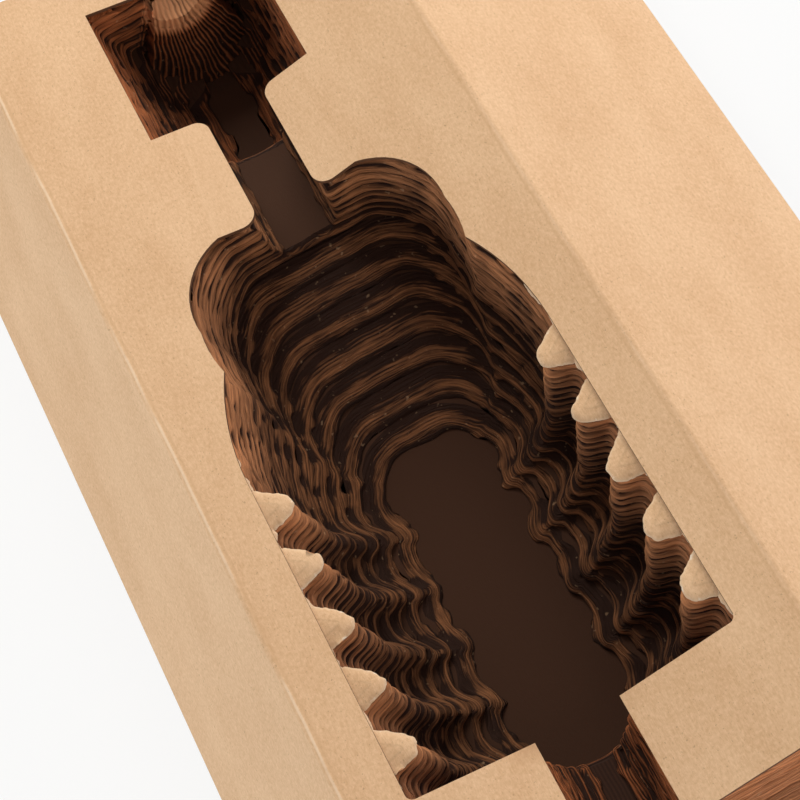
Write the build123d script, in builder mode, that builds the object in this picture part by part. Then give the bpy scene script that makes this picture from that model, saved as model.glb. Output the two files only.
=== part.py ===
# Bottle shipper insert: a crush pad of stacked, glued corrugated sheets, die-cut so that
# their edges form a cradle, under one folded kraft cover with a cutout of the same form.
# Millimetres. X is across the insert, +Y towards the head chamber, +Z up.
# The origin is under the middle of the insert's length, on the surface it stands on.
import os
from math import cos, radians, sin, sqrt, tan

from build123d import *

# The crush pad
sheet = 3.95                 # one sheet of board, and so the pitch of the ridges
sheet_count = 20
strip_count = 4              # the top sheets are laid as two strips each, beside the valley
strip_gap = 6.0              # between the two strips of a sheet, at the least
pad_side_gap = 3.0           # from either long fold in to the pad's side
pad_inset = 1.5              # the pad stops this far inside the cover's two ends

# The cover
board = 1.6                  # thickness of the cover's board
deck_margin = 19.0           # deck left between the body's side and either long fold
deck_fall = 12.5             # degrees that each half of the deck falls to the middle
fold_radius = 2.0            # outside of the two long folds
left_splay = 60.5            # degrees below level of the left side panel
right_splay = 33.0           # the right panel stands out further, clear of the floor
seat_gap = 0.2               # between the deck and the top sheet, at the cutout's edge

# The cutout in the deck, from the head end to the base end
head_margin = 22.0           # deck left beyond the head chamber
head_length = 69.0
head_half_width = 33.7
neck_length = 53.0
neck_half_width = 12.3
shoulder_half_width = 28.8   # where the two lobes start, beside the neck
first_lobe_half_width = 49.8
first_lobe_length = 35.5
first_lobe_bulge = 7.0       # of the arc from the shoulder to the lobe's widest place
pinch_half_width = 48.8
pinch_length = 18.5          # from the first lobe's widest place to the pinch
pinch_bulge = 0.9
second_lobe_length = 43.5
second_lobe_bulge = 2.4
body_half_width = 59.0
body_length = 129.0
base_margin = 45.5           # from the cutout's base line to the end of the insert
slot_half_width = 15.4       # relief slot from the base out through the end
neck_top_fillet = 5.0
neck_bottom_fillet = 7.0
body_fillet = 2.5
overrun = 3.0                # how far a cut runs on into the one beside it

# The cradle that the sheets' edges make below the deck
reveal = 1.0                 # the pad is cut this much wider than the deck
stagger = 0.5                # every other sheet stands back, so the stack's edges are ridged
floor_board = 6.55           # board left under the lowest place of the cradle
cradle_radius = 44.5
neck_radius = 13.3
shoulder_rise = 3.0          # mm along Y for each mm that the cradle's shoulder rises
head_depth = 54.0            # bottoms of the two troughs, below the top sheet
slot_depth = 46.0
wall_thinnest = 2.0          # a trough narrower than twice this is not cut

# The teeth along the body of the cradle
tooth_count = 5
tooth_width = 16.0           # along the wall
tooth_depth = 10.5           # from root to tip, at the top sheet
tooth_lean = 0.62            # share of the width that lies before the tip
tooth_flat = 2.6             # the blunt end of a tip
tooth_corner = 2.2           # cut off each corner of the tip, along the wall
tooth_corner_depth = 1.5     # and across it
tooth_start = 4.0            # from the straight body's start to the first tooth
tooth_end = 11.4             # from the last tooth to the cutout's base line

# The nose that stands in the head chamber
nose_drop = 14.0             # top of the nose below the top sheet
nose_reach = 11.0            # at its top, out from the end wall
nose_half_width = 9.0
nose_skirt = 0.45            # how much wider it grows for each mm of depth
nose_skirt_reach = 0.22      # and how much further it reaches

# Places that follow from the sizes
lobes_length = first_lobe_length + pinch_length + second_lobe_length
cutout_length = head_length + neck_length + lobes_length + body_length
insert_length = head_margin + cutout_length + base_margin
half_length = insert_length / 2
head_end = half_length - head_margin
neck_start = head_end - head_length
shoulder = neck_start - neck_length
first_lobe = shoulder - first_lobe_length
pinch = first_lobe - pinch_length
body_start = pinch - second_lobe_length
base = body_start - body_length
tooth_run = body_length - tooth_start - tooth_end - tooth_width
tooth_pitch = tooth_run / (tooth_count - 1)
deck_half_width = body_half_width + deck_margin
pad_height = sheet * sheet_count
pad_half_width = deck_half_width - pad_side_gap
pad_length = insert_length - 2 * pad_inset
deck_slope = tan(radians(deck_fall))
deck_drop = board / cos(radians(deck_fall))
fold_height = pad_height + seat_gap + deck_drop + deck_margin * deck_slope
panel_length = (fold_height - board * cos(radians(left_splay))) / sin(radians(left_splay))
axis_height = floor_board + cradle_radius
tip_top = body_half_width + reveal - tooth_depth


def curve_point(start, end, bulge):
    """A point beside the middle of two others, for an arc that bulges away from X = 0."""
    middle_x = (start[0] + end[0]) / 2
    middle_y = (start[1] + end[1]) / 2
    run_x = end[0] - start[0]
    run_y = end[1] - start[1]
    length = sqrt(run_x**2 + run_y**2)
    return (middle_x - run_y / length * bulge, middle_y + run_x / length * bulge)


def body_outline(narrow=1.0, shorten=1.0, extra=0.0):
    """Half of the cutout's body with its two lobes, as a sketch."""
    def place(x, y):
        return (x * narrow + extra, body_start + (y - body_start) * shorten)

    top = body_start + (shoulder - body_start) * shorten + extra
    start = (shoulder_half_width * narrow + extra, top)
    lobe = place(first_lobe_half_width, first_lobe)
    waist = place(pinch_half_width, pinch)
    side = place(body_half_width, body_start)
    corner = (side[0], base - extra)
    with BuildSketch() as outline:
        with BuildLine():
            Line((0, top), start)
            ThreePointArc(start, curve_point(start, lobe, first_lobe_bulge * narrow * shorten), lobe)
            ThreePointArc(lobe, curve_point(lobe, waist, pinch_bulge * narrow), waist)
            ThreePointArc(waist, curve_point(waist, side, second_lobe_bulge * narrow * shorten), side)
            Line(side, corner)
            Line(corner, (0, base - extra))
            Line((0, base - extra), (0, top))
        make_face()
    return outline.sketch


def tooth_outline(root_x, tip_x, start_y):
    """One tooth, as a blunt leaning wedge that reaches from the wall to its tip."""
    inside_wall = root_x + overrun
    end_y = start_y - tooth_width
    tip_y = start_y - tooth_width * tooth_lean
    tip_head = tip_y + tooth_flat / 2
    tip_base = tip_y - tooth_flat / 2
    corner_x = tip_x + tooth_corner_depth * (root_x - tip_x) / tooth_depth
    with BuildSketch() as tooth:
        with BuildLine():
            Polyline((inside_wall, start_y), (root_x, start_y), (corner_x, tip_head + tooth_corner),
                     (tip_x, tip_head), (tip_x, tip_base), (corner_x, tip_base - tooth_corner),
                     (root_x, end_y), (inside_wall, end_y), close=True)
        make_face()
    return tooth.sketch


def nose_outline(below, setback):
    """The nose in the head chamber, left standing and wider further down."""
    half = nose_half_width + nose_skirt * below - setback
    reach = nose_reach + nose_skirt_reach * below - setback
    wall = head_end + reveal
    inside_wall = wall + overrun
    with BuildSketch() as nose:
        with BuildLine():
            arc = ThreePointArc((-half, wall - reach / 2), (0, wall - reach), (half, wall - reach / 2))
            Polyline(arc @ 1, (half, inside_wall), (-half, inside_wall), arc @ 0)
        make_face()
    return nose.sketch


def trough_half_width(top_half_width, depth, full_depth):
    """Half width of a rounded trough at a depth below the top sheet."""
    share = min(1.0, depth / full_depth)
    return top_half_width * sqrt(1 - share**2)


def cradle_half_width(height):
    """Half width between opposite tooth tips at a height above the floor."""
    if height >= axis_height:
        share = (height - axis_height) / (pad_height - axis_height)
        return cradle_radius + (tip_top - cradle_radius) * share
    return sqrt(max(0.0, cradle_radius**2 - (axis_height - height) ** 2))


def strip_clearance(top_height):
    """Half the gap between a sheet's two strips, where the deck passes down between them."""
    room = fold_height - deck_drop - seat_gap - top_height
    return max(strip_gap / 2, deck_half_width - room / deck_slope)


def body_cavity(height, setback):
    """What a sheet leaves out for the body of the cradle, with the teeth left standing in it."""
    narrow = cradle_half_width(height) / tip_top
    tip = tip_top * narrow + setback
    root = (body_half_width + reveal) * narrow + setback
    below_neck = max(0.0, axis_height - height - neck_radius)
    shorten = 1 - below_neck * shoulder_rise / lobes_length
    with BuildSketch() as cavity:
        add(body_outline(narrow, shorten, reveal * narrow + setback))
        for tooth in range(tooth_count):
            start = body_start - tooth_start - tooth * tooth_pitch
            add(tooth_outline(root, tip, start), mode=Mode.SUBTRACT)
        mirror(about=Plane.YZ)
    return cavity.sketch


def head_chamber(half_width, depth, setback):
    """What a sheet leaves out for the head chamber, with the nose left standing in it."""
    with BuildSketch() as chamber:
        with Locations((0, (head_end + neck_start) / 2)):
            Rectangle(2 * (half_width + setback), head_length + 2 * (reveal + setback))
        if depth > nose_drop:
            add(nose_outline(depth - nose_drop, setback), mode=Mode.SUBTRACT)
    return chamber.sketch


def cut_lengthwise(half_width, from_y, to_y):
    """Cuts a channel of that half width out of the sheet being made."""
    with Locations((0, (from_y + to_y) / 2)):
        Rectangle(2 * half_width, to_y - from_y + 2 * overrun, mode=Mode.SUBTRACT)


def make_cover():
    """Folded cover: a deck that falls to its middle, and a side panel from each long fold."""
    left_reach = panel_length * cos(radians(left_splay))
    right_reach = panel_length * cos(radians(right_splay))
    left_foot = (-deck_half_width - left_reach, fold_height - panel_length * sin(radians(left_splay)))
    right_foot = (deck_half_width + right_reach, fold_height - panel_length * sin(radians(right_splay)))
    left_fold = (-deck_half_width, fold_height)
    right_fold = (deck_half_width, fold_height)
    valley = (0, fold_height - deck_half_width * deck_slope)
    with BuildPart() as cover:
        with BuildSketch(Plane.XZ.offset(-half_length)):
            with BuildLine():
                FilletPolyline(left_foot, left_fold, valley, right_fold, right_foot,
                               radius=[fold_radius, fold_radius, fold_radius])
                offset(amount=board, side=Side.RIGHT, kind=Kind.INTERSECTION)
            make_face()
        extrude(amount=insert_length)
        with BuildSketch(Plane.XY.offset(fold_height)):
            with BuildSketch() as half:
                add(body_outline())
                with Locations((0, (neck_start + head_end) / 2)):
                    Rectangle(head_half_width, head_length, align=(Align.MIN, Align.CENTER))
                with Locations((0, (shoulder + neck_start) / 2)):
                    Rectangle(neck_half_width, neck_length + 2 * overrun, align=(Align.MIN, Align.CENTER))
                with Locations((0, (base - half_length) / 2)):
                    Rectangle(slot_half_width, base_margin + 2 * overrun, align=(Align.MIN, Align.CENTER))
                fillet(half.vertices().sort_by_distance((neck_half_width, neck_start))[0], neck_top_fillet)
                fillet(half.vertices().sort_by_distance((neck_half_width, shoulder))[0], neck_bottom_fillet)
                fillet(half.vertices().sort_by_distance((body_half_width, base))[0], body_fillet)
            mirror(about=Plane.YZ)
        extrude(amount=-(fold_height - axis_height), mode=Mode.SUBTRACT)
    cover.part.label = "cover"
    return cover.part


def make_sheet(number):
    """One die-cut sheet of the pad, or its two strips where the deck comes down between them."""
    floor = (number - 1) * sheet
    middle = floor + sheet / 2
    depth = pad_height - middle
    setback = stagger * (number % 2)
    below_axis = max(0.0, axis_height - middle)
    neck = sqrt(max(0.0, neck_radius**2 - below_axis**2))
    head = trough_half_width(head_half_width + reveal, depth, head_depth)
    slot = trough_half_width(slot_half_width + reveal, depth, slot_depth)
    in_strips = number > sheet_count - strip_count
    with BuildPart() as pad:
        with BuildSketch(Plane.XY.offset(floor)):
            Rectangle(2 * pad_half_width, pad_length)
            if cradle_half_width(middle) > wall_thinnest:
                add(body_cavity(middle, setback), mode=Mode.SUBTRACT)
            if head > wall_thinnest:
                add(head_chamber(head, depth, setback), mode=Mode.SUBTRACT)
            if neck > wall_thinnest:
                cut_lengthwise(neck + setback, shoulder, neck_start)
            if slot > wall_thinnest:
                cut_lengthwise(slot + setback, -half_length, base)
            if in_strips:
                clear = strip_clearance(floor + sheet)
                cut_lengthwise(clear, body_start + overrun, half_length)
                cut_lengthwise(clear, -half_length, base - overrun)
        extrude(amount=sheet)
    name = f"pad_sheet_{number:02d}"
    if not in_strips:
        pad.part.label = name
        return [pad.part]
    strips = pad.solids().sort_by(Axis.X)
    for strip, side in zip(strips, ("left", "right")):
        strip.label = f"{name}_{side}"
    return strips


os.makedirs("parts", exist_ok=True)
pieces = [make_cover()]
for number in range(1, sheet_count + 1):
    pieces += make_sheet(number)
for piece in pieces:
    export_step(piece, f"parts/{piece.label}.step")
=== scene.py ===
# Bottle shipper insert: a crush pad of corrugated sheets under a folded kraft cover. Metres.
# X is across the insert, +Y towards the head chamber, +Z up, and the insert stands on Z = 0.
import bpy
import numpy as np
from mathutils import Matrix, Vector
from mathutils.geometry import delaunay_2d_cdt
from mathutils.kdtree import KDTree


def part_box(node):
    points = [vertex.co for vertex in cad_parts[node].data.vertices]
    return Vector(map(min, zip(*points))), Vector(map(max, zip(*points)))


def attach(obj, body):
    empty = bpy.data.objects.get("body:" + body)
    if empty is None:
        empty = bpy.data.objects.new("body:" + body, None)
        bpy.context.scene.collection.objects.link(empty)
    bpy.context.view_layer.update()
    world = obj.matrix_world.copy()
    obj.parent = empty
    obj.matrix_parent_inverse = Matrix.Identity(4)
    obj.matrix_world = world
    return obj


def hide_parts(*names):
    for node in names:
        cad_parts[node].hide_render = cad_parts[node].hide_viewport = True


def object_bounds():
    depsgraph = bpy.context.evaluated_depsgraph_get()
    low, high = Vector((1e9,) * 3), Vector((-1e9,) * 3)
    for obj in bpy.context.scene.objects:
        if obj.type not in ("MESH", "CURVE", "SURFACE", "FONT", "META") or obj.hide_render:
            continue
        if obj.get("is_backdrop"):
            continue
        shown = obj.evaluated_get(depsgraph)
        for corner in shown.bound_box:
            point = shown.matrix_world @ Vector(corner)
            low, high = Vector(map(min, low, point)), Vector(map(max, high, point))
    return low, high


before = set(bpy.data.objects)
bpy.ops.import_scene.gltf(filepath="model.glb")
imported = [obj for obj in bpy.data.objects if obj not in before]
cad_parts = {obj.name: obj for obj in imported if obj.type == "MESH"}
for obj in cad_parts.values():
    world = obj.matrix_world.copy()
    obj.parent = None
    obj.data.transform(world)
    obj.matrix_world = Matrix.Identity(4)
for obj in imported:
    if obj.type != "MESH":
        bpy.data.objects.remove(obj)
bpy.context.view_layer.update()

# The crush pad: twenty levels of corrugated sheets, die-cut and glued flat on each other, with their
# edges crushed by the die. Walls along the insert cut the flutes across, so there the ridges part in
# short, dark lenses. Walls across it cut them lengthwise, and their ridges run on.
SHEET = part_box("pad_sheet_01")[1].z
POINT_SPACING = 0.0013       # along an edge
TOP_SPACING = 0.0007         # and along the top sheet's, whose paper has torn a little
SOFTENING = 3                # passes that round a sheet's corners
TOP_SOFTENING = 2            # and the top sheet's, whose paper keeps its shape
REACH_BACK = 0.030           # a sheet's edge slopes back no further than this
SLOPE_SOFTENING = 4          # passes that even the slope out along the edge
CREASE_DEPTH = 0.0013        # how far the glue lines are drawn in
CREASE_WANDER = 0.0009       # and how far they stray up and down
SWELL = 0.0008               # how far the edge swells in and out along its way
SEED = 7.0                   # of the noise in the sheets' mesh

# Steps of a crushed edge: the height within the sheet, and how many crease depths it is drawn in
RIDGE = ((0.0, 1.6), (0.07, 1.1), (0.18, 0.6), (0.34, 0.2), (0.5, 0.0),
         (0.66, 0.2), (0.82, 0.6), (0.93, 1.1), (1.0, 1.6))
TOP_RIDGE = ((0.0, 1.6), (0.07, 1.1), (0.18, 0.6), (0.34, 0.2), (0.5, 0.05),
             (0.68, 0.35), (0.84, 0.9), (0.90, -0.75), (1.0, -0.75))

# The top sheet's paper bends down along its cut edge
LIP_DROOP = 0.0011
LIP_WIDTH = 0.0042
LIP_CLEARANCE = 0.7 * POINT_SPACING    # between the edge's own points and the others in the lip
TEAR = 0.00035               # how far its torn edge strays
BEND_START = 0.35            # above this height within the sheet, its edge bends down too
BEND_RISE = 0.53             # and this much higher it bends in full
LIP_RING = 0.14              # the bend at which a ring of painted shade runs round the lip, along its crease

# The nose stands in the head chamber, folded down its sides and cracked over its brow
NOSE_START = 0.158
HEAD_END = 0.187             # the end wall of the head chamber
NOSE_TOP = 0.065
NOSE_HALF_WIDTH = 0.009      # at its top
NOSE_SPREAD = 0.45           # how much wider it grows for each unit of depth
NOSE_REACH = 0.022           # half the width of its skirt's foot
NOSE_SPACING = 0.0002        # of the points along its edges, whose folds are fine
NOSE_PLEAT = 0.00035         # how deep a fold is, on either side of the edge
NOSE_FOLDS = 68.0            # radians of waves from its middle to its side
NOSE_CRACKS = 38.0           # and on its brow
FOLD_WAVER = 0.26            # how much noise bends the folds
CRACK_WAVER = 0.5            # and the cracks
WAVER_SCALE = (90.0, 60.0, 60.0)
BROW_DROP = (0.0135, 0.0100)           # the brow fades out between these depths below its top

# Places where the cut edges change colour, each from where the change starts to where it is full
SLOT_WALLS = (-0.160, -0.164)
SLOT_MIDDLE = (0.009, 0.002)
HEAD_WALLS = (0.112, 0.118)
OUTER_ENDS = (0.199, 0.204)
SHADE_TOP = 0.078            # the walls darken from this height down
SHADE_DEPTH = 0.040          # until they are this much deeper
PAPER_WAVES = 4800.0         # radians a metre, for papers 1.3 mm apart in the slot
EDGE_RELIEF = 0.0006         # the depth of the fibres and folds that are only shaded

# Raw board on the cut edges, and the unbleached, mottled paper on the faces, with colours for painted
# light and painted shade among them
CREST = (0.700, 0.285, 0.118, 1.0)
END_CREST = (0.780, 0.240, 0.080, 1.0)
# painted light: the outer ends' cut edges, lighter as if lit from the table in front of them
LIT_OUTER_CREST = (0.860, 0.340, 0.148, 1.0)
# painted shade: near black, for the creases, the deep walls, the slot and the nose's folds
CREVICE_SHADE = (0.030, 0.010, 0.005, 1.0)
# the hollow's faces: brown board, made darker as painted shade
INNER_FACE = (0.190, 0.080, 0.038, 1.0)
# painted light: the paler paper of the nose's lit brow
LIT_NOSE_PAPER = (0.820, 0.370, 0.175, 1.0)
CUT_PAPER = (0.86, 0.66, 0.46, 1.0)
TORN_PAPER = (0.93, 0.80, 0.66, 1.0)
KRAFT = (0.740, 0.465, 0.268, 1.0)
KRAFT_PALE = (0.820, 0.545, 0.335, 1.0)
KRAFT_DARK = (0.620, 0.365, 0.195, 1.0)
KRAFT_SPECK = (0.320, 0.175, 0.085, 1.0)


def sheet_outlines(node):
    """Closed outlines of a CAD sheet, from its top face, with the board on the left of each."""
    mesh = node.data
    mesh.calc_loop_triangles()
    points = np.empty(len(mesh.vertices) * 3)
    mesh.vertices.foreach_get("co", points)
    points = points.reshape(-1, 3)
    corners = np.empty(len(mesh.loop_triangles) * 3, dtype=int)
    mesh.loop_triangles.foreach_get("vertices", corners)
    corners = corners.reshape(-1, 3)
    on_top = (points[corners][:, :, 2] > points[:, 2].max() - 1e-5).all(axis=1)
    places, merged = np.unique(np.round(points[:, :2], 6), axis=0, return_inverse=True)
    merged = merged.reshape(-1)
    edges = set()
    for a, b, c in merged[corners[on_top]]:
        edges.update(((a, b), (b, c), (c, a)))
    following = {a: b for a, b in edges if (b, a) not in edges}
    outlines = []
    while following:
        start, step = following.popitem()
        loop = [start]
        while step != start:
            loop.append(step)
            step = following.pop(step)
        outlines.append(places[loop])
    return outlines


def evened(loop, passes):
    """A closed run of points or ways, each evened out with its neighbours."""
    for _ in range(passes):
        loop = (np.roll(loop, 1, axis=0) + 2 * loop + np.roll(loop, -1, axis=0)) / 4
    return loop


def softened(outline, spacing, passes):
    """The outline with evenly spaced points, closer on the nose, and its corners a little rounded."""
    closed = np.vstack((outline, outline[:1]))
    lengths = np.hypot(*np.diff(closed, axis=0).T)
    x, y = (closed[1:] + closed[:-1]).T / 2
    on_nose = (y > NOSE_START) & (y < HEAD_END - NOSE_SPACING) & (np.abs(x) < NOSE_REACH)
    along = np.concatenate(((0.0,), np.cumsum(lengths / np.where(on_nose, NOSE_SPACING, spacing))))
    wanted = np.linspace(0.0, along[-1], int(along[-1]), endpoint=False)
    spaced = np.column_stack([np.interp(wanted, along, closed[:, axis]) for axis in (0, 1)])
    return evened(spaced, passes)


def outward_of(outline):
    """Unit vectors that point away from the board, for an outline with the board on its left."""
    run = np.roll(outline, -1, axis=0) - np.roll(outline, 1, axis=0)
    away = np.column_stack((run[:, 1], -run[:, 0]))
    return away / np.maximum(np.hypot(*away.T), 1e-9)[:, None]


def nearest(edge, places):
    """For each place, which point of the edge is nearest, and how far away it is."""
    tree = KDTree(len(edge))
    for index, (x, y) in enumerate(edge):
        tree.insert((x, y, 0.0), index)
    tree.balance()
    found = [tree.find((x, y, 0.0)) for x, y in places]
    return np.array([index for _, index, _ in found]), np.array([away for _, _, away in found])


def slope_back(outline, outward, above):
    """For each point, the way back to the edge of the sheet above, where this sheet stands out."""
    if not above:
        return np.zeros_like(outline)
    edge_above = np.vstack(above)
    partners, _ = nearest(edge_above, outline)
    back = edge_above[partners] - outline
    stands_out = (np.sum(back * outward, axis=1) < 0) & (np.hypot(*back.T) < REACH_BACK)
    back[~stands_out] = 0.0
    return evened(back, SLOPE_SOFTENING)


def inside(outlines, places):
    """Whether each place lies on the board, by counting the edges that a ray crosses."""
    crossings = np.zeros(len(places), dtype=int)
    for outline in outlines:
        after = np.roll(outline, -1, axis=0)
        for (x0, y0), (x1, y1) in zip(outline, after):
            if y0 != y1:
                straddles = (y0 > places[:, 1]) != (y1 > places[:, 1])
                crossings += straddles & (places[:, 0] < x0 + (places[:, 1] - y0) * (x1 - x0) / (y1 - y0))
    return crossings % 2 == 1


def lip_places(outlines):
    """Points on the top sheet beside its cut edge, with how far the paper has bent down at each: 1 at
    the edge and 0 where the lip ends."""
    edge = np.vstack(outlines)
    low, high = edge.min(axis=0), edge.max(axis=0)
    columns, rows = np.meshgrid(np.arange(low[0], high[0], POINT_SPACING),
                                np.arange(low[1], high[1], POINT_SPACING))
    columns = columns + (np.arange(len(rows)) % 2)[:, None] * POINT_SPACING / 2
    places = np.column_stack((columns.ravel(), rows.ravel()))
    _, away = nearest(edge, places)
    near = (away > LIP_CLEARANCE) & (away < 2 * LIP_WIDTH)
    places, away = places[near], away[near]
    on_board = inside(outlines, places)
    return places[on_board], np.clip(1 - away[on_board] / LIP_WIDTH, 0, 1)


def filled(outlines, others):
    """Triangles over the board inside the outlines, with the other points among them. Each triangle
    numbers its corners: the outlines' points in turn, then the others."""
    places = [Vector(place) for outline in (*outlines, others) for place in outline]
    edges = []
    first = 0
    for outline in outlines:
        count = len(outline)
        edges.extend((first + step, first + (step + 1) % count) for step in range(count))
        first += count
    found, _, triangles, origins, _, _ = delaunay_2d_cdt(places, edges, [], 0, 1e-8, True)
    on_board = inside(outlines, np.array(found)[np.array(triangles)].mean(axis=1))
    return [[origins[corner][0] for corner in triangle]
            for triangle, kept in zip(triangles, on_board) if kept]


def note(mesh, label, domain, values):
    """Writes a named number, or a flat vector, for each point or face of the mesh."""
    values = np.asarray(values, dtype=np.float32)
    if values.ndim == 2:
        layer = mesh.attributes.new(label, "FLOAT_VECTOR", domain)
        layer.data.foreach_set("vector", np.column_stack((values, np.zeros(len(values)))).ravel())
    else:
        layer = mesh.attributes.new(label, "FLOAT", domain)
        layer.data.foreach_set("value", values)


def sheet_mesh(name, outlines, above, low, high):
    """A sheet whose edge has one ring of points for each step of its profile."""
    is_top = above is None
    profile = TOP_RIDGE if is_top else RIDGE
    rings = len(profile)
    outline = np.vstack(outlines)
    count = len(outline)
    outward = np.vstack([outward_of(part) for part in outlines])
    back = np.vstack([slope_back(part, outward_of(part), above) for part in outlines])
    others, bends = lip_places(outlines) if is_top else (np.empty((0, 2)), np.empty(0))
    share = np.repeat([step for step, _ in profile], count)
    inset = np.repeat([drawn_in for _, drawn_in in profile], count)
    points = np.column_stack((np.tile(outline, (rings, 1)), low + (high - low) * share))
    points = np.vstack((points, np.column_stack((others, np.full(len(others), high)))))
    firsts = np.cumsum([0] + [len(part) for part in outlines[:-1]])
    after = np.concatenate([np.roll(np.arange(len(part)), -1) + first
                            for part, first in zip(outlines, firsts)])
    faces = []
    for ring in range(rings - 1):
        lower, upper = ring * count, (ring + 1) * count
        faces.extend((lower + step, lower + ahead, upper + ahead, upper + step)
                     for step, ahead in enumerate(after))
    sides = len(faces)
    top = (rings - 1) * count
    faces.extend([corner + top for corner in triangle] for triangle in filled(outlines, others))
    faces.extend(triangle[::-1] for triangle in filled(outlines, np.empty((0, 2))))
    mesh = bpy.data.meshes.new(name)
    mesh.from_pydata(points.tolist(), [], faces)

    on_edge = np.arange(len(faces)) < sides
    on_liner = on_edge & (np.arange(len(faces)) >= (rings - 2) * count) & is_top
    is_outside = ~on_edge & (is_top | (low < SHEET / 2))
    mesh.polygons.foreach_set("use_smooth", on_edge | is_top)
    profile_length = np.hypot(high - low, np.hypot(*back.T))
    may_lean = (share % 1 > 0) & ((share > 0.5) | (low > SHEET / 2))
    bend = np.clip((share - BEND_START) / BEND_RISE, 0, 1)**1.5 * is_top
    flat = np.zeros_like(others)
    padding = np.zeros(len(others))
    note(mesh, "outward", "POINT", np.vstack((np.tile(outward, (rings, 1)), flat)))
    note(mesh, "back", "POINT", np.vstack((np.tile(back, (rings, 1)) * share[:, None], flat)))
    note(mesh, "inset", "POINT", np.append(inset, padding))
    note(mesh, "lean", "POINT", np.append(np.abs(2 * share - 1) * may_lean, padding))
    note(mesh, "bend", "POINT", np.append(bend, bends))
    note(mesh, "across", "POINT", np.append(np.tile(profile_length, rings) * share, padding))
    note(mesh, "edge", "FACE", on_edge & ~on_liner)
    note(mesh, "outside", "FACE", is_outside)
    note(mesh, "liner", "FACE", on_liner)
    return mesh


class Rule:
    """A Geometry Nodes tree under construction."""

    def __init__(self, name, inputs):
        self.tree = bpy.data.node_groups.new(name, "GeometryNodeTree")
        face = self.tree.interface
        face.new_socket("Geometry", in_out="OUTPUT", socket_type="NodeSocketGeometry")
        face.new_socket("Geometry", in_out="INPUT", socket_type="NodeSocketGeometry")
        for label, value in inputs.items():
            socket = face.new_socket(label, in_out="INPUT", socket_type="NodeSocketFloat")
            socket.default_value = value
        self.source = self.tree.nodes.new("NodeGroupInput")
        self.result = self.tree.nodes.new("NodeGroupOutput")

    def size(self, label):
        return self.source.outputs[label]

    def node(self, kind, settings, sockets):
        """Adds a node: its settings first, then the values or links of its sockets."""
        made = self.tree.nodes.new(kind)
        for name, value in settings.items():
            setattr(made, name, value)
        for name, value in sockets.items():
            if isinstance(value, bpy.types.NodeSocket):
                self.tree.links.new(value, made.inputs[name])
            else:
                made.inputs[name].default_value = value
        return made.outputs[0]

    def math(self, operation, first, second=0.0, third=0.0):
        return self.node("ShaderNodeMath", {"operation": operation}, {0: first, 1: second, 2: third})

    def product(self, *factors):
        result = factors[0]
        for factor in factors[1:]:
            result = self.math("MULTIPLY", result, factor)
        return result

    def between(self, value, low, high, to_low, to_high, clamp=True):
        """The value moved from one range to another, and kept inside it unless clamp is off."""
        return self.node("ShaderNodeMapRange", {"clamp": clamp},
                         {"Value": value, "From Min": low, "From Max": high,
                          "To Min": to_low, "To Max": to_high})

    def mix(self, share, first, second):
        return self.node("ShaderNodeMix", {"data_type": "FLOAT"}, {0: share, 2: first, 3: second})

    def vector(self, **axes):
        return self.node("ShaderNodeCombineXYZ", {}, axes)

    def axes(self, vector):
        """The X, Y and Z of a vector."""
        return self.node("ShaderNodeSeparateXYZ", {}, {"Vector": vector}).node.outputs

    def times(self, vector, factor):
        return self.node("ShaderNodeVectorMath", {"operation": "SCALE"}, {0: vector, "Scale": factor})

    def plus(self, first, second):
        return self.node("ShaderNodeVectorMath", {"operation": "ADD"}, {0: first, 1: second})

    def named(self, label, kind="FLOAT"):
        return self.node("GeometryNodeInputNamedAttribute", {"data_type": kind}, {"Name": label})

    def noise(self, vector, stretch, detail=1.0):
        """Noise from about -1 to 1, with its coordinates stretched along each axis."""
        scaled = self.node("ShaderNodeVectorMath", {"operation": "MULTIPLY"}, {0: vector, 1: stretch})
        raw = self.node("ShaderNodeTexNoise", {"normalize": True},
                        {"Vector": scaled, "Scale": 1.0, "Detail": detail})
        return self.between(raw, 0.25, 0.75, -1.0, 1.0, clamp=False)

    def stored(self, geometry, label, value):
        return self.node("GeometryNodeStoreNamedAttribute", {"data_type": "FLOAT", "domain": "POINT"},
                         {"Geometry": geometry, "Name": label, "Value": value})

    def finish(self, geometry, material):
        """Ends the tree with one plain mesh in that material."""
        whole = self.node("GeometryNodeRealizeInstances", {}, {"Geometry": geometry})
        dressed = self.node("GeometryNodeSetMaterial", {}, {"Geometry": whole, "Material": material})
        self.tree.links.new(dressed, self.result.inputs[0])
        return self.tree


def nose_share(rule, x, y, z):
    """How much of the nose a point is part of, and how far its folds push it out, from -1 to 1.
    They are the folds of nose_looks, whose noise runs from about 0.25 to 0.75."""
    drop = rule.math("MAXIMUM", rule.math("SUBTRACT", NOSE_TOP, z), 0.0)
    half = rule.math("ADD", rule.product(drop, NOSE_SPREAD), NOSE_HALF_WIDTH)
    turn = rule.math("DIVIDE", x, half)
    wobble = rule.math("ADD", rule.noise(rule.vector(X=x, Y=y, Z=z), WAVER_SCALE, 3.0), 2.0)
    folding = rule.math("MULTIPLY_ADD", wobble, FOLD_WAVER / 4, turn)
    cracking = rule.math("MULTIPLY_ADD", wobble, CRACK_WAVER / 4, turn)
    fold = rule.math("SINE", rule.product(folding, NOSE_FOLDS))
    crack = rule.math("SINE", rule.product(cracking, NOSE_CRACKS))
    pleat = rule.mix(rule.between(drop, *BROW_DROP, 0.0, 1.0), fold, crack)
    share = rule.product(rule.between(y, NOSE_START, NOSE_START + 0.006, 0.0, 1.0),
                         rule.between(y, HEAD_END, HEAD_END + 0.002, 1.0, 0.0),
                         rule.between(rule.math("ABSOLUTE", turn), 1.0, 1.15, 1.0, 0.0),
                         rule.between(z, NOSE_TOP + 0.001, NOSE_TOP + 0.002, 1.0, 0.0))
    return share, pleat


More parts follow.
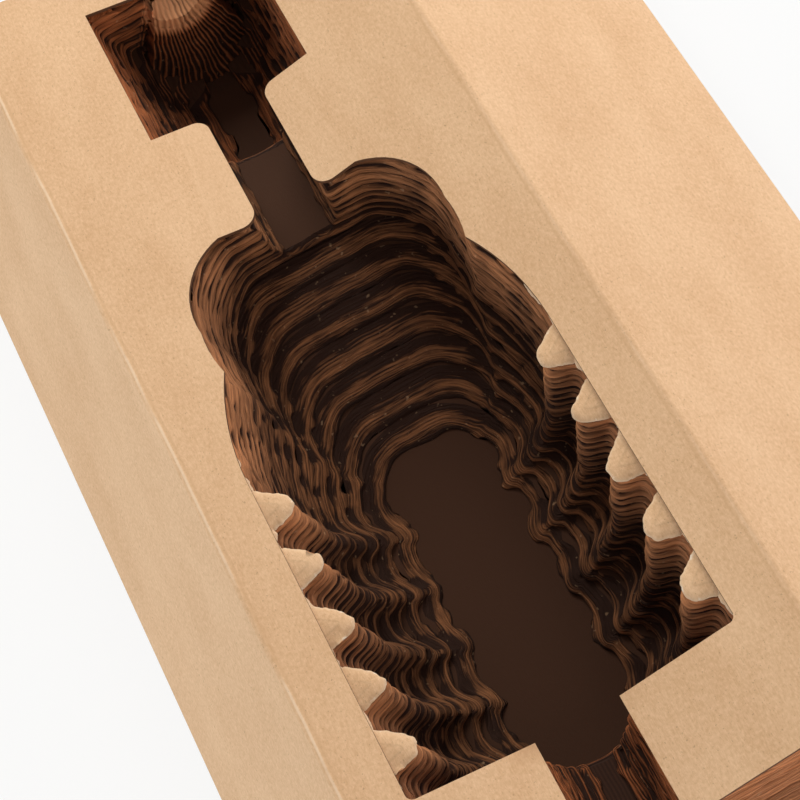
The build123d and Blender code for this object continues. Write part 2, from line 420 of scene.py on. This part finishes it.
def crushed_edge_rule(material):
    """Turns a sheet's straight edge into the crushed one."""
    rule = Rule("crushed_edge", {"Sheet": SHEET, "Crease Depth": CREASE_DEPTH, "Wander": CREASE_WANDER,
                                 "Swell": SWELL, "Droop": LIP_DROOP, "Tear": TEAR,
                                 "Pleat": NOSE_PLEAT, "Seed": SEED})
    back = rule.named("back", "FLOAT_VECTOR")
    outward = rule.named("outward", "FLOAT_VECTOR")
    bend = rule.named("bend")
    x, y, z = rule.axes(rule.plus(rule.node("GeometryNodeInputPosition", {}, {}), back))
    facing_x, _, _ = rule.axes(outward)
    level = rule.math("ROUND", rule.math("DIVIDE", z, rule.size("Sheet")))
    glue_line = rule.vector(X=x, Y=y, Z=rule.math("MULTIPLY_ADD", level, rule.size("Seed")))
    whole = rule.vector(X=x, Y=y, Z=rule.math("ADD", z, rule.size("Seed")))
    on_nose, pleat = nose_share(rule, x, y, z)
    plain = rule.math("SUBTRACT", 1.0, on_nose)

    # Creases along the glue lines: short lenses in lengthwise walls, and lines that run on elsewhere
    lengthwise = rule.between(rule.math("ABSOLUTE", facing_x), 0.55, 0.9, 0.0, 1.0)
    lenses = rule.between(rule.noise(glue_line, (30.0, 120.0, 1.7)), -0.25, 0.35, 0.15, 1.3)
    run_on = rule.between(rule.noise(glue_line, (45.0, 45.0, 1.3)), -0.7, 0.7, 0.55, 1.15)
    crease = rule.product(rule.named("inset"), rule.mix(lengthwise, run_on, lenses), plain)

    # In and out: the swell, less the crease, with the lip's torn edge and the nose's folds
    swell = rule.product(rule.noise(whole, (55.0, 55.0, 260.0), 2.0), rule.size("Swell"), plain)
    tear = rule.product(rule.noise(whole, (420.0, 420.0, 1.0), 2.0), bend, rule.size("Tear"))
    push = rule.math("SUBTRACT", swell, rule.product(crease, rule.size("Crease Depth")))
    push = rule.math("ADD", push, tear)
    push = rule.math("ADD", push, rule.product(pleat, on_nose, rule.size("Pleat")))

    # Up and down: the glue lines stray, and the lip droops
    straying = rule.noise(glue_line, (80.0, 80.0, 1.9))
    wander = rule.product(straying, rule.named("lean"), rule.size("Wander"), plain)
    sag = rule.between(rule.noise(whole, (60.0, 60.0, 1.0)), -1.0, 1.0, 0.7, 1.3)
    droop = rule.product(bend, sag, rule.size("Droop"))
    rise = rule.vector(Z=rule.math("SUBTRACT", wander, droop))

    offset = rule.plus(rule.plus(rule.times(outward, push), back), rise)
    # the crease is kept for the finish, which paints shade along it
    shaded = rule.stored(rule.size("Geometry"), "crease", crease)
    moved = rule.node("GeometryNodeSetPosition", {}, {"Geometry": shaded, "Offset": offset})
    return rule.finish(moved, material)


class Tap:
    """A number or colour that varies over a surface. Arithmetic on it adds Math nodes."""

    def __init__(self, finish, socket):
        self.finish = finish
        self.socket = socket

    def __add__(self, other):
        return self.finish.math("ADD", self, other)

    def __radd__(self, other):
        return self.finish.math("ADD", other, self)

    def __sub__(self, other):
        return self.finish.math("SUBTRACT", self, other)

    def __rsub__(self, other):
        return self.finish.math("SUBTRACT", other, self)

    def __mul__(self, other):
        return self.finish.math("MULTIPLY", self, other)

    def __rmul__(self, other):
        return self.finish.math("MULTIPLY", other, self)

    def __truediv__(self, other):
        return self.finish.math("DIVIDE", self, other)

    def __rtruediv__(self, other):
        return self.finish.math("DIVIDE", other, self)

    def __gt__(self, other):
        return self.finish.math("GREATER_THAN", self, other)

    def __lt__(self, other):
        return self.finish.math("LESS_THAN", self, other)

    def __abs__(self):
        return self.finish.math("ABSOLUTE", self)


class Finish:
    """One material's nodes, ending in a matt paper surface."""

    def __init__(self, name):
        self.material = bpy.data.materials.new(name)
        self.material.use_nodes = True
        self.tree = self.material.node_tree
        self.surface = self.tree.nodes["Principled BSDF"]
        self.surface.inputs["Specular IOR Level"].default_value = 0.25
        self.place = self.node("ShaderNodeTexCoord", {}, {}, out="Object")

    def node(self, kind, settings, sockets, out=0):
        """Adds a node: its settings first, then the values or links of its sockets."""
        made = self.tree.nodes.new(kind)
        for name, value in settings.items():
            setattr(made, name, value)
        for name, value in sockets.items():
            if isinstance(value, Tap):
                self.tree.links.new(value.socket, made.inputs[name])
            else:
                made.inputs[name].default_value = value
        return Tap(self, made.outputs[out])

    def math(self, operation, first, second=0.0):
        return self.node("ShaderNodeMath", {"operation": operation}, {0: first, 1: second})

    def axes(self, vector):
        """The X, Y and Z of a vector."""
        parts = self.node("ShaderNodeSeparateXYZ", {}, {"Vector": vector})
        return [Tap(self, socket) for socket in parts.socket.node.outputs]

    def noise_at(self, vector, detail, roughness, curl=0.0):
        return self.node("ShaderNodeTexNoise", {"normalize": True},
                         {"Vector": vector, "Scale": 1.0, "Detail": detail,
                          "Roughness": roughness, "Distortion": curl})

    def noise(self, scale, detail=2.0, roughness=0.5, curl=0.0):
        """Noise on object coordinates, scaled along each axis."""
        place = self.node("ShaderNodeVectorMath", {"operation": "MULTIPLY"}, {0: self.place, 1: scale})
        return self.noise_at(place, detail, roughness, curl)

    def ramp(self, value, low, high):
        """0 up to low, 1 from high, and even between."""
        return self.node("ShaderNodeMapRange", {"clamp": True},
                         {"Value": value, "From Min": low, "From Max": high})

    def mix(self, share, first, second):
        return self.node("ShaderNodeMix", {"data_type": "RGBA"}, {0: share, 6: first, 7: second}, out=2)

    def attribute(self, name):
        return self.node("ShaderNodeAttribute", {"attribute_name": name}, {}, out="Fac")

    def finish(self, colour, roughness, relief, depth):
        """Sets the colour, the roughness and the relief, whose white stands depth metres proud."""
        bump = self.node("ShaderNodeBump", {}, {"Strength": 1.0, "Distance": depth, "Height": relief})
        for name, tap in (("Base Color", colour), ("Roughness", roughness), ("Normal", bump)):
            self.tree.links.new(tap.socket, self.surface.inputs[name])
        return self.material


def kraft_face(finish):
    """Colour and relief of the kraft paper's face: short fibres, lighter and darker flecks, and
    faint lines along the machine direction, which runs the length of the insert."""
    clouds = finish.noise((55, 22, 55), 3.0)
    grain = finish.noise((900, 700, 900), 4.0, 0.65)
    fibres = finish.noise((2600, 420, 2600), 2.0, 0.6, 0.6)
    flecks = finish.noise((1500, 1100, 1500), 1.0)
    mottle = finish.ramp(clouds * 0.25 + grain * 0.45 + fibres * 0.30, 0.37, 0.63)
    colour = finish.mix(mottle, KRAFT_DARK, KRAFT_PALE)
    colour = finish.mix(0.20, colour, KRAFT)
    colour = finish.mix(finish.ramp(flecks, 0.68, 0.76) * 0.45, colour, KRAFT_SPECK)
    colour = finish.mix(finish.ramp(flecks, 0.34, 0.26) * 0.60, colour, KRAFT_PALE)
    relief = grain * 0.5 + fibres * 0.5
    return colour, relief


def nose_looks(finish, x, y, z, wobble):
    """How much of the nose and of its brow a point is part of, and its folds, from -1 to 1."""
    drop = finish.math("MAXIMUM", NOSE_TOP - z, 0.0)
    turn = x / (drop * NOSE_SPREAD + NOSE_HALF_WIDTH)
    within = finish.ramp(y, NOSE_START, NOSE_START + 0.004) * (y < HEAD_END + 0.003)
    beside = finish.ramp(abs(turn), 1.2, 1.0)
    on_nose = within * beside * finish.ramp(z, NOSE_TOP + 0.003, NOSE_TOP + 0.002)
    brow = on_nose * finish.ramp(drop, *BROW_DROP)
    ridge = finish.ramp(abs(turn - 0.1), 0.45, 0.15)
    fold = finish.math("SINE", (turn + wobble * FOLD_WAVER) * NOSE_FOLDS)
    cracks = finish.math("SINE", (turn + wobble * CRACK_WAVER) * NOSE_CRACKS)
    return on_nose, brow, fold * (1 - brow) + cracks * brow * (ridge * 0.8 + 0.2)


def board_edge_finish():
    """Kraft on the sheets' faces, and raw brown board, crushed and fibrous, on their edges."""
    finish = Finish("board_edge")
    x, y, z = finish.axes(finish.place)
    across = finish.attribute("across")
    bend = finish.attribute("bend")
    on_edge = finish.attribute("edge")
    in_slot = finish.ramp(y, *SLOT_WALLS)
    wobble = finish.noise(WAVER_SCALE, 3.0)
    on_nose, brow, fold = nose_looks(finish, x, y, z, wobble)

    # Fine lines along the board's papers, more even in the slot
    along = {"X": x * 65, "Y": y * 65, "Z": across * 1150 + z * 40}
    threads = finish.noise_at(finish.node("ShaderNodeCombineXYZ", {}, along), 3.0, 0.62)
    wave = finish.math("SINE", across * 5700 + threads * 9.0 + z * 900) * 0.5 + 0.5
    layered = in_slot * 0.55 + 0.25
    lines = finish.ramp(threads, 0.38, 0.62) * (1 - layered) + wave * layered
    lines = lines * (1 - on_nose)

    # The dark of the creases, of the lower levels and of the nose's skirt and folds is painted shade, and
    # the nose's brow is painted lighter; the board's own lines and patches darken too
    patches = finish.noise((90, 90, 160), 2.0)
    depth = finish.ramp(SHADE_TOP - z, 0.0, SHADE_DEPTH)
    dark = finish.attribute("crease") * 1.05 + lines * 0.7 + patches * 0.5 + depth
    dark = dark + on_nose * (0.75 - fold * 0.45) - brow * (0.85 + fold * 0.5)
    dark = finish.ramp(dark, 0.45, 2.0)

    # The cut edges: redder in the head chamber and the slot, and painted light on the outer ends, which
    # are lighter and less shaded
    outside = finish.ramp(abs(y), *OUTER_ENDS)
    knots = finish.noise((420, 420, 900), 1.0)
    crest = finish.mix(finish.ramp(y, *HEAD_WALLS) + in_slot, CREST, END_CREST)
    # painted light: the nose's brow takes the paler, lit paper
    crest = finish.mix(brow, crest, LIT_NOSE_PAPER)
    crest = finish.mix(outside, crest, LIT_OUTER_CREST)
    edge_colour = finish.mix(dark * (1 - outside * 0.4), crest, CREVICE_SHADE)
    edge_colour = finish.mix(finish.ramp(knots, 0.70, 0.80) * 0.30, edge_colour, KRAFT)

    # The faces inside the hollow: painted shade lower down, and in the slot, darkest in its middle and
    # between papers on edge; the nose's brow is painted light, with painted shade in its cracks
    papers = finish.math("SINE", x * PAPER_WAVES + wobble * 6.0) * 0.5 + 0.5
    middle = finish.ramp(abs(x), *SLOT_MIDDLE)
    inner_colour = finish.mix(depth * 0.8, INNER_FACE, CREVICE_SHADE)
    inner_colour = finish.mix(in_slot * (papers * 0.5 + middle * 0.5), inner_colour, CREVICE_SHADE)
    nose_colour = finish.mix(finish.ramp(patches, 0.35, 0.65) * 0.5, LIT_NOSE_PAPER, CREST)
    nose_colour = finish.mix(finish.ramp(fold, 0.1, -0.9) * 0.8, nose_colour, CREVICE_SHADE)
    inner_colour = finish.mix(brow, inner_colour, nose_colour)

    # The outer faces, with a ring of painted shade along the crease of the top sheet's lip, and the worn
    # rim of its edge
    face_colour, face_relief = kraft_face(finish)
    lip_crease_shade = finish.ramp(abs(bend - LIP_RING), LIP_RING, 0.0)
    face_colour = finish.mix(lip_crease_shade * 0.20, face_colour, KRAFT_SPECK)
    face_colour = finish.mix(finish.ramp(bend, 0.86, 1.0) * 0.35, face_colour, CUT_PAPER)

    torn = finish.ramp(finish.noise((260, 260, 260), 2.0), 0.62, 0.68) * finish.ramp(bend, 0.84, 0.96)
    colour = finish.mix(finish.attribute("outside"), inner_colour, face_colour)
    colour = finish.mix(on_edge, colour, edge_colour)
    colour = finish.mix(finish.attribute("liner"), colour, CUT_PAPER)
    colour = finish.mix(torn * 0.7, colour, TORN_PAPER)
    relief = face_relief * 0.25 + lines * on_edge + fold * on_nose * 0.3
    roughness = 0.9 - 0.1 * face_relief
    return finish.finish(colour, roughness, relief, EDGE_RELIEF)


def converted(target, name):
    """Puts what the object's modifiers make of it, as a plain mesh, in place of the old one."""
    evaluated = target.evaluated_get(bpy.context.evaluated_depsgraph_get())
    made = bpy.data.meshes.new_from_object(evaluated)
    target.modifiers.clear()
    target.data = made
    made.name = name


crushed_edge = crushed_edge_rule(board_edge_finish())
sheet_nodes = sorted((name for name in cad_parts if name.startswith("pad_sheet")), reverse=True)
outlines_at = {}
for name in sheet_nodes:
    low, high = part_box(name)
    level = round(high.z / SHEET)
    above = outlines_at.get(level + 1)
    spacing, passes = (POINT_SPACING, SOFTENING) if above else (TOP_SPACING, TOP_SOFTENING)
    outlines = [softened(outline, spacing, passes) for outline in sheet_outlines(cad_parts[name])]
    outlines_at.setdefault(level, []).extend(outlines)
    dressed_name = name.replace("pad_", "crushed_")
    dressed = bpy.data.objects.new(dressed_name, sheet_mesh(dressed_name, outlines, above, low.z, high.z))
    bpy.context.scene.collection.objects.link(dressed)
    dressed.modifiers.new("crushed_edge", "NODES").node_group = crushed_edge
    converted(dressed, dressed_name)
    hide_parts(name)
    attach(dressed, "root")

# The folded cover: one piece of kraft board, scored and folded at the two sides and down the middle.
# Its cutout is die-cut, and the pad is glued to its underside.
LINER = 0.0004               # the paper on its face
FOLD = 0.078                 # the long folds, from the middle
FOLD_HEIGHT = 0.08545
DECK_SLOPE = 0.2217          # each half of the deck falls this much to the middle
CUTOUT_REACH = FOLD - 0.004  # the cutout ends nearer to the middle than this
FLAP = (0.0222, 0.117)       # a crease starts here beside the cutout's neck, on either side
FLAP_LEAN = 0.12
FLAP_FOOT = (0.058, 0.066)   # it fades in here
FLAP_HEAD = (0.122, 0.116)   # and out here
STRETCH_INSET = 0.0008       # the paper is stretched pale, with a painted highlight, just inside a fold
STRETCH_WANDER = 0.002
SHADOW_INSET = 0.0014        # and a little darker this much further in
SLOT_CORNER = (0.0154, -0.1625)
BRUISE_AND_SHADE_REACH = (0.0125, 0.005)
COVER_RELIEF = 0.00012       # the depth of its fibres
FOLD_PALE = (0.980, 0.780, 0.580, 1.0)
BRUISE_AND_SHADE = (0.520, 0.290, 0.150, 1.0)
BOARD_CORE = (0.150, 0.068, 0.034, 1.0)


def cover_finish():
    """Kraft paper that is a little warped, its folds stretched pale with a painted highlight and painted
    shade, painted light by the neck's creases, and its cut edges layered.
    """
    finish = Finish("kraft_cover")
    colour, face_relief = kraft_face(finish)
    x, y, z = finish.axes(finish.place)
    _, facing_y, facing_z = finish.axes(finish.node("ShaderNodeTexCoord", {}, {}, out="Normal"))
    out = abs(x)
    on_left = finish.ramp(x, 0.0, -0.001)

    # Creases beside the neck, where the flaps give way a little, painted light: paler on the neck's side
    # and along the crease lines
    flap = (FLAP[1] - y) * FLAP_LEAN + FLAP[0] + finish.noise((60, 60, 60)) * 0.0012 - out
    along = finish.ramp(y, *FLAP_FOOT) * finish.ramp(y, *FLAP_HEAD)
    strength = along * finish.ramp(x, 0.006, -0.006) * 0.6 + along * 0.4
    colour = finish.mix(finish.ramp(flap, -0.0004, 0.0006) * strength * 0.22, colour, KRAFT_PALE)
    crease = finish.ramp(abs(flap), 0.0011, 0.0003) * strength
    colour = finish.mix(crease * 0.30, colour, KRAFT_PALE)

    # The long folds, where the paper is stretched pale, partly as a painted highlight, with a line of
    # painted shade just inside
    wave = finish.noise((26, 26, 26), 2.0)
    off_fold = out - FOLD + STRETCH_INSET + (wave - 0.5) * STRETCH_WANDER
    on_fold = finish.ramp(abs(off_fold), 0.0007, 0.0002)
    on_fold = on_fold * finish.ramp(wave, 0.40, 0.55) * (on_left * 0.35 + 0.10)
    colour = finish.mix(on_fold, colour, FOLD_PALE)
    under_fold = finish.ramp(abs(off_fold + SHADOW_INSET), 0.0008, 0.0002)
    colour = finish.mix(under_fold * 0.40, colour, KRAFT_DARK)

    # The two corners beside the slot, bruised, and darkened as painted shade where the left one is bent
    # up
    off_x = out - SLOT_CORNER[0]
    off_y = y - SLOT_CORNER[1]
    away = finish.math("SQRT", off_x * off_x + off_y * off_y) + finish.noise((200, 200, 200), 2.0) * 0.006
    bruised_and_shaded = finish.ramp(away, *BRUISE_AND_SHADE_REACH) * (on_left * 0.6 + 0.4)
    colour = finish.mix(bruised_and_shaded * 0.60, colour, BRUISE_AND_SHADE)

    # Its cut edge: the face's paper, and under it the fluted core
    deep = (FOLD - out) * (-DECK_SLOPE) + FOLD_HEIGHT - z
    layers = finish.mix(deep > LINER, KRAFT_PALE, BOARD_CORE)
    on_cutout = finish.ramp(abs(facing_z), 0.6, 0.5) * (out < CUTOUT_REACH)
    on_cut = finish.math("MAXIMUM", on_cutout, abs(facing_y) > 0.9)
    colour = finish.mix(on_cut, colour, layers)

    relief = face_relief + finish.noise((16, 7, 16), 1.0) * 14.0 - bruised_and_shaded * 3.0
    roughness = 0.88 - 0.08 * face_relief
    return finish.finish(colour, roughness, relief, COVER_RELIEF)


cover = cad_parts["cover"]
cover.data.materials.clear()
cover.data.materials.append(cover_finish())

# The pale table that the insert lies on, in a bright room: wide windows beyond its two ends and lower
# ones to its right and left. None of it is part of the insert.
FLOOR_REACH = 4.0
FLOOR_GLOW = 0.80            # how far the table goes to plain white before the camera
ROOM_LIGHT = 0.21
LIT_PLACE = Vector((0, 0, 0.05))       # the windows face this
WHITE = (1.0, 1.0, 1.0, 1.0)
TABLE = (0.88, 0.88, 0.88, 1.0)


def table_finish():
    """A matt pale table that looks almost white to the camera and keeps a soft shadow."""
    finish = Finish("pale_table")
    finish.surface.inputs["Base Color"].default_value = TABLE
    finish.surface.inputs["Roughness"].default_value = 0.95
    seen = finish.node("ShaderNodeLightPath", {}, {}, out="Is Camera Ray")
    white = finish.node("ShaderNodeEmission", {}, {"Color": WHITE})
    surface = Tap(finish, finish.surface.outputs[0])
    shown = finish.node("ShaderNodeMixShader", {}, {0: seen * FLOOR_GLOW, 1: surface, 2: white})
    finish.tree.links.new(shown.socket, finish.tree.nodes["Material Output"].inputs["Surface"])
    return finish.material


def window(name, place, width, height, power, colour):
    """A rectangle of light that faces the insert."""
    light = bpy.data.lights.new(name, "AREA")
    light.shape = "RECTANGLE"
    light.size = width
    light.size_y = height
    light.energy = power
    light.color = colour
    hung = bpy.data.objects.new(name, light)
    hung.location = place
    hung.rotation_euler = (LIT_PLACE - Vector(place)).to_track_quat("-Z", "Y").to_euler()
    bpy.context.scene.collection.objects.link(hung)


corners = ((-1, -1), (1, -1), (1, 1), (-1, 1))
floor_mesh = bpy.data.meshes.new("floor")
floor_mesh.from_pydata([(x * FLOOR_REACH, y * FLOOR_REACH, 0.0) for x, y in corners], [], [(0, 1, 2, 3)])
floor_mesh.materials.append(table_finish())
floor = bpy.data.objects.new("floor", floor_mesh)
bpy.context.scene.collection.objects.link(floor)
floor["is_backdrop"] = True

window("front_window", (0.3, -1.3, 0.7), 1.2, 0.8, 7.0, (1.0, 0.92, 0.82))
window("back_window", (0.2, 1.3, 0.9), 1.2, 0.8, 21.5, (1.0, 0.97, 0.86))
window("right_window", (1.3, 0.1, 0.5), 1.0, 0.6, 9.8, (0.86, 0.90, 0.98))
window("left_window", (-1.3, -0.1, 0.35), 1.2, 0.6, 10.6, (0.79, 0.88, 0.95))
world = bpy.data.worlds.new("room")
bpy.context.scene.world = world
world.use_nodes = True
world.node_tree.nodes["Background"].inputs["Color"].default_value = WHITE
world.node_tree.nodes["Background"].inputs["Strength"].default_value = ROOM_LIGHT

# The camera stands over the slot's end and looks down along the insert, which runs from the lower
# right of the picture to its upper left. Its right and back are unit vectors, fitted to the picture.
EYE = Vector((-0.00073, -0.39225, 0.73599))
EYE_RIGHT = Vector((0.8729, -0.4292, -0.2321)).normalized()
EYE_BACK = Vector((-0.0016, -0.4781, 0.8783)).normalized()
FILM_WIDTH = 36.0            # millimetres, as the lens is
LENS = 98.24

eye_up = EYE_BACK.cross(EYE_RIGHT).normalized()
camera = bpy.data.cameras.new("camera")
camera.sensor_width = FILM_WIDTH
camera.lens = LENS
eye = bpy.data.objects.new("camera", camera)
eye.matrix_world = Matrix.Translation(EYE) @ Matrix((EYE_RIGHT, eye_up, EYE_BACK)).transposed().to_4x4()
bpy.context.scene.collection.objects.link(eye)
bpy.context.scene.camera = eye
bpy.context.scene.view_settings.view_transform = "Standard"

low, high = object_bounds()
